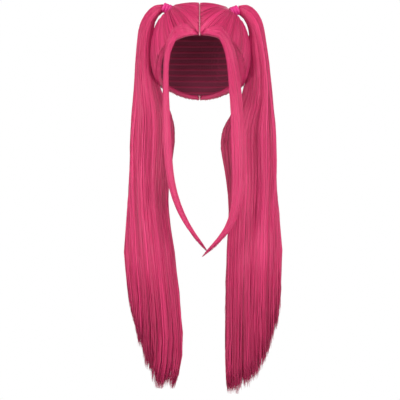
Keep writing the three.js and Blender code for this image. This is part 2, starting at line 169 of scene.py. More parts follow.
def ring_from_cut(across, back):
    """A cut's outline about its middle, in equal steps along its edge."""
    angle = np.arctan2(back, across)
    order = np.argsort(angle)
    directions = np.linspace(-math.pi, math.pi, 2 * RING_STEPS, endpoint=False)
    reach = np.interp(directions, angle[order], np.hypot(across, back)[order], period=2.0 * math.pi)
    outline = np.stack([reach * np.cos(directions), reach * np.sin(directions)], axis=1)
    closed = np.vstack([outline, outline[:1]])
    length = np.concatenate([[0.0], np.cumsum(np.linalg.norm(np.diff(closed, axis=0), axis=1))])
    stops = np.linspace(0.0, length[-1], RING_STEPS, endpoint=False)
    return np.stack([np.interp(stops, length, closed[:, axis]) for axis in (0, 1)], axis=1)


def swept_body(node, sign, pivot, angles, levels, evenness):
    """Sections of a hanging body, on planes that turn about a pivot until level and then step down."""
    points, corners = solid_arrays(node)
    planes = [(pivot, math.radians(angle)) for angle in angles]
    planes += [(np.array((pivot[0], 0.0, level)), 0.0) for level in levels]
    middles, outwards, rings = [], [], []
    for place, angle in planes:
        outward = np.array((sign * math.cos(angle), 0.0, math.sin(angle)))
        along = np.array((sign * math.sin(angle), 0.0, -math.cos(angle)))
        cut = cut_points(points, corners, place, along)
        if angle > 0.0:
            cut = cut[(cut - place) @ outward > 0.0]
        if len(cut) < 8:
            continue
        across = (cut - place) @ outward
        back = cut[:, 1]
        middle_across = (across.min() + across.max()) / 2.0
        middle_back = (back.min() + back.max()) / 2.0
        middles.append(place + outward * middle_across + BACK * middle_back)
        outwards.append(outward)
        rings.append(ring_from_cut(across - middle_across, back - middle_back))
    middles = smoothed(np.array(middles), evenness)
    rings = smoothed(np.array(rings), evenness)
    lengths = np.concatenate([[0.0], np.cumsum(np.linalg.norm(np.diff(middles, axis=0), axis=1))])
    size = np.sqrt(np.ptp(rings[:, :, 0], axis=1) * np.ptp(rings[:, :, 1], axis=1)) / 2.0
    return {"middle": middles, "outward": np.array(outwards), "ring": rings, "length": lengths, "size": size}


def on_body(body, at, round_share, depth_share):
    """Points of a swept body and the way they face: at is a length along it."""
    last = len(body["length"]) - 1
    row = np.interp(at, body["length"], np.arange(last + 1))
    low = np.clip(np.floor(row).astype(int), 0, last - 1)
    rise = (row - low)[..., None]
    place = (round_share % 1.0) * RING_STEPS
    first = np.floor(place).astype(int) % RING_STEPS
    second = (first + 1) % RING_STEPS
    turn = (place - np.floor(place))[..., None]
    ring = body["ring"]
    below = mix(ring[low, first], ring[low, second], turn)
    above = mix(ring[low + 1, first], ring[low + 1, second], turn)
    flat = mix(below, above, rise)
    middle = mix(body["middle"][low], body["middle"][low + 1], rise)
    outward = mix(body["outward"][low], body["outward"][low + 1], rise)
    offset = outward * flat[..., :1] + BACK * flat[..., 1:]
    return middle + offset * depth_share[..., None], unit(offset)


# ---- Making meshes ----


def mesh_piece(name, points, corners, starts, uvs, tints, material):
    """One smooth piece from arrays: faces begin at starts in the list of corners."""
    mesh = bpy.data.meshes.new(name)
    mesh.vertices.add(len(points))
    mesh.vertices.foreach_set("co", np.ascontiguousarray(points, np.float32).ravel())
    mesh.loops.add(len(corners))
    mesh.loops.foreach_set("vertex_index", np.ascontiguousarray(corners, np.int32))
    mesh.polygons.add(len(starts))
    mesh.polygons.foreach_set("loop_start", np.ascontiguousarray(starts, np.int32))
    mesh.polygons.foreach_set("use_smooth", np.ones(len(starts), bool))
    mesh.update(calc_edges=True)
    uv_map = mesh.uv_layers.new(name="UVMap")
    uv_map.data.foreach_set("uv", np.ascontiguousarray(uvs, np.float32).ravel())
    tint = mesh.attributes.new("tint", "FLOAT", "POINT")
    tint.data.foreach_set("value", np.ascontiguousarray(tints, np.float32))
    mesh.validate()
    mesh.materials.append(material)
    piece = bpy.data.objects.new(name, mesh)
    bpy.context.scene.collection.objects.link(piece)
    return piece


def strands_piece(name, paths, facing, radii, tints, material):
    """Closed three-sided strands. paths is strand by station, and facing points away from the body."""
    count, stations, _ = paths.shape
    along = unit(np.gradient(paths, axis=1))
    outward = unit(facing - along * np.sum(facing * along, axis=2, keepdims=True))
    sideways = np.cross(along, outward)
    roll = chance.normal(0.0, 0.35, (count, 1)) + np.linspace(0.0, 1.0, stations) * chance.normal(0.0, 0.5, (count, 1))
    rings = []
    for turn in (0.5 * math.pi, 7.0 * math.pi / 6.0, 11.0 * math.pi / 6.0):
        wide = 1.2 * np.cos(turn + roll)[..., None]
        high = 0.85 * np.sin(turn + roll)[..., None]
        rings.append(paths + radii[..., None] * (sideways * wide + outward * high))
    points = np.stack(rings, axis=2).reshape(-1, 3)

    strand = np.arange(count)[:, None, None] * stations * 3
    station = np.arange(stations - 1)[None, :, None] * 3
    corner = np.arange(3)[None, None, :]
    following = (corner + 1) % 3
    here = strand + station
    quads = np.stack([here + corner, here + following, here + 3 + following, here + 3 + corner], axis=-1)
    root = (np.arange(count) * stations * 3)[:, None] + np.array((0, 2, 1))
    tip = (np.arange(count) * stations * 3 + 3 * (stations - 1))[:, None] + np.array((0, 1, 2))
    corners = np.concatenate([quads.reshape(-1), root.reshape(-1), tip.reshape(-1)])
    quad_count = count * (stations - 1) * 3
    starts = np.concatenate([np.arange(quad_count) * 4, quad_count * 4 + np.arange(2 * count) * 3])

    run = np.concatenate(
        [np.zeros((count, 1)), np.cumsum(np.linalg.norm(np.diff(paths, axis=1), axis=2), axis=1)], axis=1
    )
    run += chance.uniform(0.0, 3.0, (count, 1))
    lane = chance.integers(0, 40, (count, 1, 1)).astype(float)
    across = np.broadcast_to(lane + np.arange(3) / 3.0, (count, stations - 1, 3))
    across_next = across + 1.0 / 3.0
    start_run = np.broadcast_to(run[:, :-1, None], across.shape)
    end_run = np.broadcast_to(run[:, 1:, None], across.shape)
    quad_uvs = np.stack(
        [
            np.stack([across, start_run], axis=-1),
            np.stack([across_next, start_run], axis=-1),
            np.stack([across_next, end_run], axis=-1),
            np.stack([across, end_run], axis=-1),
        ],
        axis=3,
    )
    root_uvs = np.repeat(np.stack([lane[:, 0, 0], run[:, 0]], axis=1), 3, axis=0)
    tip_uvs = np.repeat(np.stack([lane[:, 0, 0], run[:, -1]], axis=1), 3, axis=0)
    uvs = np.concatenate([quad_uvs.reshape(-1, 2), root_uvs, tip_uvs])
    shades = np.broadcast_to(tints.reshape(count, -1), (count, stations)).reshape(-1)
    return mesh_piece(name, points, corners, starts, uvs, np.repeat(shades, 3), material)


def mass_piece(name, rings, lane_width, tint, material):
    """A closed smooth body through rings of points, whose two ends close on their middles."""
    rows, around, _ = rings.shape
    start, end = rings[0].mean(axis=0), rings[-1].mean(axis=0)
    points = np.concatenate([rings.reshape(-1, 3), start[None], end[None]])
    row = np.arange(rows - 1)[:, None] * around
    corner = np.arange(around)[None, :]
    following = (corner + 1) % around
    quads = np.stack([row + corner, row + following, row + around + following, row + around + corner], axis=-1)
    steps = np.arange(around)
    after = (steps + 1) % around
    last = (rows - 1) * around
    first_fan = np.stack([np.full(around, rows * around), after, steps], axis=1)
    last_fan = np.stack([np.full(around, rows * around + 1), last + steps, last + after], axis=1)
    corners = np.concatenate([quads.reshape(-1), first_fan.reshape(-1), last_fan.reshape(-1)])
    quad_count = (rows - 1) * around
    starts = np.concatenate([np.arange(quad_count) * 4, quad_count * 4 + np.arange(2 * around) * 3])

    middles = rings.mean(axis=1)
    run = np.concatenate([[0.0], np.cumsum(np.linalg.norm(np.diff(middles, axis=0), axis=1))])
    widest = np.linalg.norm(np.diff(rings, axis=1), axis=2).sum(axis=1).max()
    lanes = widest / lane_width
    across = np.broadcast_to(steps / around * lanes, (rows - 1, around))
    across_next = across + lanes / around
    start_run = np.broadcast_to(run[:-1, None], across.shape)
    end_run = np.broadcast_to(run[1:, None], across.shape)
    quad_uvs = np.stack(
        [
            np.stack([across, start_run], axis=-1),
            np.stack([across_next, start_run], axis=-1),
            np.stack([across_next, end_run], axis=-1),
            np.stack([across, end_run], axis=-1),
        ],
        axis=2,
    )
    lane = steps / around * lanes
    first_uvs = np.stack([np.stack([lane, np.zeros(around)], axis=1)] * 3, axis=1)
    last_uvs = np.stack([np.stack([lane, np.full(around, run[-1])], axis=1)] * 3, axis=1)
    uvs = np.concatenate([quad_uvs.reshape(-1, 2), first_uvs.reshape(-1, 2), last_uvs.reshape(-1, 2)])
    piece = mesh_piece(name, points, corners, starts, uvs, np.full(len(points), tint), material)
    return face_outwards(piece)


def face_outwards(piece):
    bpy.ops.object.select_all(action="DESELECT")
    bpy.context.view_layer.objects.active = piece
    piece.select_set(True)
    bpy.ops.object.mode_set(mode="EDIT")
    bpy.ops.mesh.select_all(action="SELECT")
    bpy.ops.mesh.normals_make_consistent(inside=False)
    bpy.ops.object.mode_set(mode="OBJECT")
    piece.select_set(False)
    return piece


def finish_piece(piece, slot, *nodes):
    """The piece rides on the wig and stands for the nodes. slot is not used."""
    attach(piece, "root")
    if nodes:
        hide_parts(*nodes)
    return piece


# ---- Finishes ----


def new_finish(name):
    material = bpy.data.materials.new(name)
    material.use_nodes = True
    return material, material.node_tree, material.node_tree.nodes["Principled BSDF"]


def colour_stops(ramp, stops):
    elements = ramp.color_ramp.elements
    while len(elements) < len(stops):
        elements.new(0.5)
    for element, (place, colour) in zip(elements, stops):
        element.position = place
        element.color = (*colour, 1.0)


def node_at(tree, kind, **settings):
    node = tree.nodes.new(kind)
    for key, value in settings.items():
        setattr(node, key, value)
    return node


def hair_finish():
    """Satin synthetic fibre: each strand has its own tint, which on the pigtails also carries painted shade, with fine
    lines running along it.
    """
    material, tree, shader = new_finish("satin_fibre")
    tint = node_at(tree, "ShaderNodeAttribute", attribute_name="tint")
    uv = node_at(tree, "ShaderNodeUVMap", uv_map="UVMap")
    stretch = node_at(tree, "ShaderNodeMapping")
    stretch.inputs["Scale"].default_value = (3.0, 5.0, 1.0)
    streaks = node_at(tree, "ShaderNodeTexNoise", noise_dimensions="2D")
    streaks.inputs["Scale"].default_value = 1.0
    streaks.inputs["Detail"].default_value = 3.0
    streaks.inputs["Roughness"].default_value = 0.6
    spread = node_at(tree, "ShaderNodeMapRange")
    spread.inputs["From Min"].default_value = 0.3
    spread.inputs["From Max"].default_value = 0.7
    spread.inputs["To Min"].default_value = -0.16
    spread.inputs["To Max"].default_value = 0.16
    total = node_at(tree, "ShaderNodeMath", operation="ADD")
    ramp = node_at(tree, "ShaderNodeValToRGB")
    colour_stops(
        ramp,
        (
            (0.0, (0.180, 0.0040, 0.0300)),
            (0.35, (0.400, 0.0105, 0.0760)),
            (0.65, (0.570, 0.0200, 0.1220)),
            (1.0, (0.760, 0.0600, 0.2150)),
        ),
    )
    sheen = node_at(tree, "ShaderNodeMapRange")
    sheen.inputs["To Min"].default_value = 0.36
    sheen.inputs["To Max"].default_value = 0.52
    relief = node_at(tree, "ShaderNodeBump")
    relief.inputs["Strength"].default_value = 0.35
    relief.inputs["Distance"].default_value = 0.0006
    tree.links.new(uv.outputs["UV"], stretch.inputs["Vector"])
    tree.links.new(stretch.outputs["Vector"], streaks.inputs["Vector"])
    tree.links.new(streaks.outputs["Fac"], spread.inputs["Value"])
    tree.links.new(tint.outputs["Fac"], total.inputs[0])
    tree.links.new(spread.outputs["Result"], total.inputs[1])
    tree.links.new(total.outputs["Value"], ramp.inputs["Fac"])
    tree.links.new(ramp.outputs["Color"], shader.inputs["Base Color"])
    tree.links.new(streaks.outputs["Fac"], sheen.inputs["Value"])
    tree.links.new(sheen.outputs["Result"], shader.inputs["Roughness"])
    tree.links.new(streaks.outputs["Fac"], relief.inputs["Height"])
    tree.links.new(relief.outputs["Normal"], shader.inputs["Normal"])
    shader.inputs["Specular IOR Level"].default_value = 0.45
    shader.inputs["IOR"].default_value = 1.5
    return material


def elastic_finish():
    """Covered elastic: fine yarns wound round the band, a little shiny."""
    material, tree, shader = new_finish("covered_elastic")
    uv = node_at(tree, "ShaderNodeUVMap", uv_map="UVMap")
    slant = node_at(tree, "ShaderNodeMapping")
    slant.inputs["Rotation"].default_value = (0.0, 0.0, math.radians(28.0))
    slant.inputs["Scale"].default_value = (60.0, 14.0, 1.0)
    yarns = node_at(tree, "ShaderNodeTexWave", wave_type="BANDS", bands_direction="X")
    yarns.inputs["Scale"].default_value = 0.6
    yarns.inputs["Distortion"].default_value = 0.6
    yarns.inputs["Detail"].default_value = 1.0
    ramp = node_at(tree, "ShaderNodeValToRGB")
    colour_stops(
        ramp,
        (
            (0.0, (0.420, 0.0050, 0.1150)),
            (0.5, (0.620, 0.0100, 0.1850)),
            (1.0, (0.760, 0.0220, 0.2500)),
        ),
    )
    relief = node_at(tree, "ShaderNodeBump")
    relief.inputs["Strength"].default_value = 0.3
    relief.inputs["Distance"].default_value = 0.0004
    tree.links.new(uv.outputs["UV"], slant.inputs["Vector"])
    tree.links.new(slant.outputs["Vector"], yarns.inputs["Vector"])
    tree.links.new(yarns.outputs["Fac"], ramp.inputs["Fac"])
    tree.links.new(ramp.outputs["Color"], shader.inputs["Base Color"])
    tree.links.new(yarns.outputs["Fac"], relief.inputs["Height"])
    tree.links.new(relief.outputs["Normal"], shader.inputs["Normal"])
    shader.inputs["Roughness"].default_value = 0.5
    return material


def net_finish():
    """Knitted cap net: a fine mesh of holes between dull threads."""
    material, tree, shader = new_finish("cap_net")
    uv = node_at(tree, "ShaderNodeUVMap", uv_map="UVMap")
    scale = node_at(tree, "ShaderNodeMapping")
    scale.inputs["Scale"].default_value = (330.0, 330.0, 330.0)
    holes = node_at(tree, "ShaderNodeTexVoronoi", voronoi_dimensions="2D", feature="F1")
    holes.inputs["Scale"].default_value = 1.0
    holes.inputs["Randomness"].default_value = 0.25
    ramp = node_at(tree, "ShaderNodeValToRGB")
    colour_stops(
        ramp,
        (
            (0.0, (0.110, 0.0080, 0.0290)),
            (0.35, (0.130, 0.0090, 0.0340)),
            (0.6, (0.190, 0.0130, 0.0500)),
        ),
    )
    place = node_at(tree, "ShaderNodeTexCoord")
    rows = node_at(tree, "ShaderNodeTexWave", wave_type="BANDS", bands_direction="Z")
    rows.inputs["Scale"].default_value = 27.0
    rows.inputs["Distortion"].default_value = 0.4
    rows.inputs["Detail"].default_value = 1.0
    sewn = node_at(tree, "ShaderNodeValToRGB")
    colour_stops(sewn, ((0.60, (0.0, 0.0, 0.0)), (0.95, (1.0, 1.0, 1.0))))
    mixed = node_at(tree, "ShaderNodeMix", data_type="RGBA")
    wefts = [socket for socket in mixed.inputs if socket.type == "RGBA"]
    wefts[1].default_value = (0.250, 0.0100, 0.0500, 1.0)
    raised = node_at(tree, "ShaderNodeMath", operation="ADD")
    relief = node_at(tree, "ShaderNodeBump")
    relief.inputs["Strength"].default_value = 0.7
    relief.inputs["Distance"].default_value = 0.0008
    tree.links.new(uv.outputs["UV"], scale.inputs["Vector"])
    tree.links.new(scale.outputs["Vector"], holes.inputs["Vector"])
    tree.links.new(holes.outputs["Distance"], ramp.inputs["Fac"])
    tree.links.new(place.outputs["Object"], rows.inputs["Vector"])
    tree.links.new(rows.outputs["Fac"], sewn.inputs["Fac"])
    tree.links.new(sewn.outputs["Color"], mixed.inputs[0])
    tree.links.new(ramp.outputs["Color"], wefts[0])
    tree.links.new([socket for socket in mixed.outputs if socket.type == "RGBA"][0], shader.inputs["Base Color"])
    tree.links.new(holes.outputs["Distance"], raised.inputs[0])
    tree.links.new(sewn.outputs["Color"], raised.inputs[1])
    tree.links.new(raised.outputs["Value"], relief.inputs["Height"])
    tree.links.new(relief.outputs["Normal"], shader.inputs["Normal"])
    shader.inputs["Roughness"].default_value = 0.85
    return material


def skin_finish():
    """False skin in the parting: pale, dull and faintly mottled."""
    material, tree, shader = new_finish("parting_skin")
    place = node_at(tree, "ShaderNodeTexCoord")
    mottle = node_at(tree, "ShaderNodeTexNoise")
    mottle.inputs["Scale"].default_value = 700.0
    mottle.inputs["Detail"].default_value = 3.0
    ramp = node_at(tree, "ShaderNodeValToRGB")
    colour_stops(
        ramp,
        (
            (0.3, (0.480, 0.1500, 0.2100)),
            (0.5, (0.680, 0.3300, 0.3600)),
            (0.7, (0.760, 0.4200, 0.4300)),
        ),
    )
    tree.links.new(place.outputs["Object"], mottle.inputs["Vector"])
    tree.links.new(mottle.outputs["Fac"], ramp.inputs["Fac"])
    tree.links.new(ramp.outputs["Color"], shader.inputs["Base Color"])
    shader.inputs["Roughness"].default_value = 0.7
    return material


HAIR = hair_finish()
ELASTIC = elastic_finish()
NET = net_finish()
SKIN = skin_finish()


# ---- The ties ----


def tie_place(name):
    """A tie's middle, its axis away from the head, and half its length."""
    points, _ = solid_arrays(f"hair_tie_{name}")
    middle = (points.min(axis=0) + points.max(axis=0)) / 2.0
    _, directions = np.linalg.eigh(np.cov((points - middle).T))
    axis = directions[:, 0]
    if axis[0] * middle[0] < 0.0:
        axis = -axis
    axis[1] = 0.0
    axis = unit(axis)
    under = np.array((axis[2], 0.0, -axis[0]))
    if under[2] > 0.0:
        under = -under
    half = np.abs((points - middle) @ axis).max()
    return {"middle": middle, "axis": axis, "under": under, "half": half}


def wound_tie(name):
    """Three flat coils of covered elastic, wound side by side and slightly askew."""
    place = tie_place(name)
    turn = Vector((0.0, 0.0, 1.0)).rotation_difference(Vector(place["axis"]))
    coils = []
    for coil, shift in enumerate((-1.0, 0.0, 1.0)):
        bpy.ops.mesh.primitive_torus_add(
            major_segments=72, minor_segments=20, major_radius=0.0088, minor_radius=0.0017
        )
        ring = bpy.context.object
        bpy.ops.object.mode_set(mode="EDIT")
        bpy.ops.mesh.select_all(action="SELECT")
        bpy.ops.transform.resize(value=(1.0, 1.0, 1.85))
        bpy.ops.object.mode_set(mode="OBJECT")
        askew = Vector((chance.normal(0.0, 0.05), chance.normal(0.0, 0.05), 1.0))
        ring.rotation_mode = "QUATERNION"
        ring.rotation_quaternion = turn @ Vector((0.0, 0.0, 1.0)).rotation_difference(askew)
        along = shift * (place["half"] - 0.0030)
        ring.location = Vector(place["middle"] + place["axis"] * along)
        coils.append(ring)
    bpy.ops.object.select_all(action="DESELECT")
    for ring in coils:
        ring.select_set(True)
    bpy.context.view_layer.objects.active = coils[0]
    bpy.ops.object.join()
    tie = bpy.context.object
    bpy.ops.object.transform_apply(location=True, rotation=True, scale=True)
    bpy.ops.object.shade_smooth()
    tie.name = f"tie_{name}_coils"
    tie.data.materials.clear()
    tie.data.materials.append(ELASTIC)
    tie.select_set(False)
    return finish_piece(tie, "hair_tie", f"hair_tie_{name}")


# ---- The pigtails ----


def pigtail_body(name, sign, lowest):
    place = tie_place(name)
    leaving = place["middle"] + place["axis"] * place["half"]
    pivot = np.array((leaving[0], 0.0, leaving[2] - PIGTAIL_PIVOT_DROP))
    angles = np.linspace(94.0, 0.0, 25)
    levels = np.arange(pivot[2] - 0.006, lowest, -0.008)
    body = swept_body(f"pigtail_{name}", sign, pivot, angles, levels, 2.4)
    height = body["middle"][:, 2]
    extra, from_height, to_height = SIDE_FULLNESS[name]
    beside_head = ease(-height, from_height, to_height) * (1.0 - ease(-height, 0.17, 0.24))
    inner = np.minimum(body["ring"][:, :, 0], 0.0)
    reach = np.abs(inner).max(axis=1, keepdims=True)
    body["ring"][:, :, 0] += extra * beside_head[:, None] * inner / reach
    in_arch = ease(body["length"], 0.0, 0.02) * (1.0 - ease(body["length"], 0.04, 0.09))
    outer = np.maximum(body["ring"][:, :, 0], 0.0)
    body["ring"][:, :, 0] += ARCH_FULLNESS * in_arch[:, None] * outer / outer.max(axis=1, keepdims=True)
    return body


def broad_tint(places):
    """Wider lights and darks round a body of hair, over the strands' own."""
    total = np.zeros(len(places))
    for waves, size in ((5, 0.030), (11, 0.030), (23, 0.035)):
        total += size * np.sin(2.0 * math.pi * waves * places + chance.uniform(0.0, 6.28))
    return total


def lower_outline(name):
    """The solid's lowest point at each place across it, as seen from the front."""
    points, corners = solid_arrays(f"pigtail_{name}")
    low, high = points[:, 0].min(), points[:, 0].max()
    across = np.arange(low + 0.001, high - 0.0005, 0.001)
    normal = np.array((1.0, 0.0, 0.0))
    bottoms = [cut_points(points, corners, np.array((x, 0.0, 0.0)), normal)[:, 2].min() for x in across]
    return across, np.array(bottoms)


def wisp_tips(across, bottoms):
    """Places across the pigtail where its lower outline reaches down in a point."""
    tips = []
    for index in range(3, len(across) - 3):
        near = bottoms[index - 3 : index + 4]
        if bottoms[index] == near.min() and near.max() - near.min() > 0.002:
            tips.append(across[index])
    return np.array(tips)


def filled_outline(outline):
    """The lower outline with the notches between its wisps mostly filled."""
    padded = np.pad(outline, 7, mode="edge")
    lowest = np.min([padded[shift : shift + len(outline)] for shift in range(15)], axis=0)
    slanted = np.abs(np.gradient(smoothed(outline, 8.0))) / 0.001
    return smoothed(mix(lowest, outline, np.clip(0.25 + 0.35 * slanted, 0.0, 1.0)), 3.0)


def inner_lean(name, sign, levels):
    """How far the solid's inner edge has moved across by each level below the fall."""
    points, corners = solid_arrays(f"pigtail_{name}")
    up = np.array((0.0, 0.0, 1.0))
    edges = [(cut_points(points, corners, np.array((0.0, 0.0, z)), up)[:, 0] * -sign).max() for z in levels]
    edges = np.array(edges) - edges[0]
    return -sign * smoothed(np.where(np.abs(edges) < 0.030, edges, 0.0), 1.0)


def hanging_strands(name, sign):
    """Strand paths down a pigtail, gathered in clumps that draw together at the tips."""
    body = pigtail_body(name, sign, PIGTAIL_FALL)
    total = body["length"][-1]
    stops = np.append(STRAND_STOPS, total)
    count = PIGTAIL_STRANDS
    clump = chance.integers(0, PIGTAIL_CLUMPS, count)
    clump_round = (np.arange(PIGTAIL_CLUMPS) * 0.618034) % 1.0
    clump_depth = chance.uniform(0.95, 1.0, PIGTAIL_CLUMPS)
    clump_depth[::4] = chance.uniform(0.60, 0.90, len(clump_depth[::4]))
    gaps = np.gradient(stops) * np.append(np.append(0.0, np.ones(len(stops) - 2)), 0.0)
    at = stops + gaps * chance.uniform(-0.35, 0.35, (count, len(stops)))

    opened = ease(stops, 0.0, 0.10)
    clump_drift = wander(PIGTAIL_CLUMPS, stops, ((0.0035, 0.60),))[clump] * opened
    own_drift = wander(count, stops, ((0.0022, 0.40),)) * opened
    round_share = clump_round[clump][:, None] + chance.normal(0.0, 0.009, (count, 1))
    round_share = round_share + clump_drift + own_drift
    sink = np.abs(chance.normal(0.0, 0.018, (count, 1)))
    depth = clump_depth[clump][:, None] + 0.01 - sink
    depth = depth + wander(count, stops, ((0.006, 0.40),)) * opened
    depth = np.clip(depth, 0.3, 1.02)
    upper, facing = on_body(body, at, round_share, depth)

    across, outline = lower_outline(name)
    bottoms = filled_outline(outline)
    tips = wisp_tips(across, outline)
    begin = upper[:, -1]
    guide = np.array([begin[clump == c].mean(axis=0) if (clump == c).any() else begin[0] for c in range(PIGTAIL_CLUMPS)])
    guide_end = guide[:, 0].copy()
    if len(tips):
        nearest = tips[np.abs(guide_end[:, None] - tips[None, :]).argmin(axis=1)]
        pull = np.clip(nearest - guide_end, -0.014, 0.014)
        guide_end += 0.15 * pull
    end_x = guide_end[clump] + 0.35 * (begin[:, 0] - guide[clump, 0]) + chance.normal(0.0, 0.0015, count)
    levels = np.linspace(PIGTAIL_FALL, bottoms.min() + 0.012, 12)
    lean = inner_lean(name, sign, levels)
    outer_side = np.ptp(begin[:, 0])
    outer_side = (begin[:, 0] * sign - (begin[:, 0] * sign).min()) / outer_side
    lean_share = mix(1.0, 0.65, outer_side)
    bottom = np.full(count, PIGTAIL_FALL)
    for _ in range(4):
        leaning = end_x + lean_share * np.interp(-bottom, -levels, lean)
        leaning = np.clip(leaning, across[0] + 0.001, across[-1] - 0.001)
        bottom = mix(bottom, np.interp(leaning, across, bottoms), 0.8)
    room = begin[:, 2] - bottom
    early = np.where(chance.uniform(size=count) < 0.25, chance.uniform(0.0, 0.08, count), 0.0)
    clump_short = chance.uniform(-0.006, 0.012, PIGTAIL_CLUMPS)[clump]
    lift = early + clump_short + chance.uniform(-0.006, 0.005, count)
    lift = np.minimum(lift, 0.75 * np.maximum(room, 0.004))
    end_z = np.clip(bottom + lift, outline.min(), begin[:, 2] - 0.006)
    middle_y = body["middle"][-1, 1]
    narrow = mix(1.0, 0.35, np.clip(room / 0.26, 0.0, 1.0))
    narrow = narrow * chance.uniform(0.1, 1.0, count)
    end_y = middle_y - 0.004 + narrow * (begin[:, 1] - middle_y) + chance.normal(0.0, 0.001, count)

    drops = np.linspace(0.0, 1.0, 7)[1:]
    fall = np.zeros((count, len(drops), 3))
    fall[:, :, 2] = mix(begin[:, 2:3], end_z[:, None], drops)
    bend = drops**1.4
    sway = wander(count, drops * 0.26, ((0.0008, 0.15),))
    fall[:, :, 0] = mix(begin[:, 0:1], end_x[:, None], bend) + sway * drops
    fall[:, :, 0] += lean_share[:, None] * np.interp(-fall[:, :, 2], -levels, lean)
    fall[:, :, 1] = mix(begin[:, 1:2], end_y[:, None], bend)
    paths = np.concatenate([upper, fall], axis=1)
    facing = np.concatenate([facing, np.repeat(facing[:, -1:], len(drops), axis=1)], axis=1)

    run = np.cumsum(np.linalg.norm(np.diff(paths, axis=1), axis=2), axis=1)
    run = np.concatenate([np.zeros((count, 1)), run], axis=1)
    left = run[:, -1:] - run
    fullness = np.interp(stops, body["length"], body["size"]) / 0.040
    fullness = np.concatenate([np.clip(fullness, 0.3, 1.0), np.ones(len(drops))])
    taper = np.clip(left / 0.06, 0.0, 1.0) ** 0.7 * 0.88 + 0.12
    width = PIGTAIL_STRAND * chance.uniform(0.75, 1.2, (count, 1))
    radii = width * fullness * taper
    own = 0.52 + broad_tint(clump_round)[clump] + chance.normal(0.0, 0.085, count)
    # Painted shade: strands on the pigtail's inner side, in a band below the top where the neck would be, are darkened
    # as the head's painted shadow, and every strand darkens towards its tip as painted shade where less light falls
    inward = ease(facing[:, :, 0] * -sign, 0.1, 0.9)
    neck_shadow_band = ease(-paths[:, :, 2], 0.10, 0.20) * (1.0 - ease(-paths[:, :, 2], 0.36, 0.50))
    painted_tip_shade = 0.16 * ease(-paths[:, :, 2], 0.42, 0.66)
    tints = own[:, None] - 0.18 * inward * neck_shadow_band - painted_tip_shade
    return paths, facing, radii, np.clip(tints, 0.05, 0.95)


def pigtail_pieces(name, sign):
    body = pigtail_body(name, sign, PIGTAIL_CORE_END)
    rows, around = 130, 112
    at = np.linspace(0.0, body["length"][-1], rows)[:, None] * np.ones((1, around))
    round_share = np.arange(around)[None, :] / around * np.ones((rows, 1))
    height = np.interp(at, body["length"], body["middle"][:, 2])
    thin = mix(0.94, 0.30, ease(-height, 0.48, -PIGTAIL_CORE_END))
    grooves = 0.004 * np.sin(round_share * 2.0 * math.pi * 37.0 + 2.0 * np.sin(at * 9.0))
    rings, _ = on_body(body, at, round_share, thin + grooves)
    mass = mass_piece(f"pigtail_{name}_mass", rings, 0.0012, 0.47, HAIR)
    finish_piece(mass, "hair", f"pigtail_{name}")
    strands = strands_piece(f"pigtail_{name}_strands", *hanging_strands(name, sign), HAIR)
    finish_piece(strands, "hair")


# ---- The locks beside the face ----


def point_on_crown(crown, place):
    """The crown's surface in front of a place, a little higher where the hair ends below it."""
    for rise in np.arange(0.0, 0.02, 0.0005):
        direction = unit(place + np.array((0.0, 0.0, rise)) - HEAD_MIDDLE)
        reach = outer_reach(crown, direction)
        if reach is not None:
            return HEAD_MIDDLE + direction * (reach - 0.001)
    return place


def lock_body(name, sign):
    pivot = np.array((sign * LOCK_PIVOT_OUT, 0.0, LOCK_PIVOT_HEIGHT))
    lowest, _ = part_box(f"face_lock_{name}")
    angles = np.linspace(130.0, 0.0, 53)
    levels = np.arange(LOCK_PIVOT_HEIGHT - 0.006, lowest[2] + 0.002, -0.006)
    body = swept_body(f"face_lock_{name}", sign, pivot, angles, levels, 1.6)
    rooted = int(np.argmax(np.ptp(body["ring"][:, :, 0], axis=1) > 0.013))
    for part in ("middle", "outward", "ring", "size"):
        body[part] = body[part][rooted:]
    body["length"] = body["length"][rooted:] - body["length"][rooted]
    return body


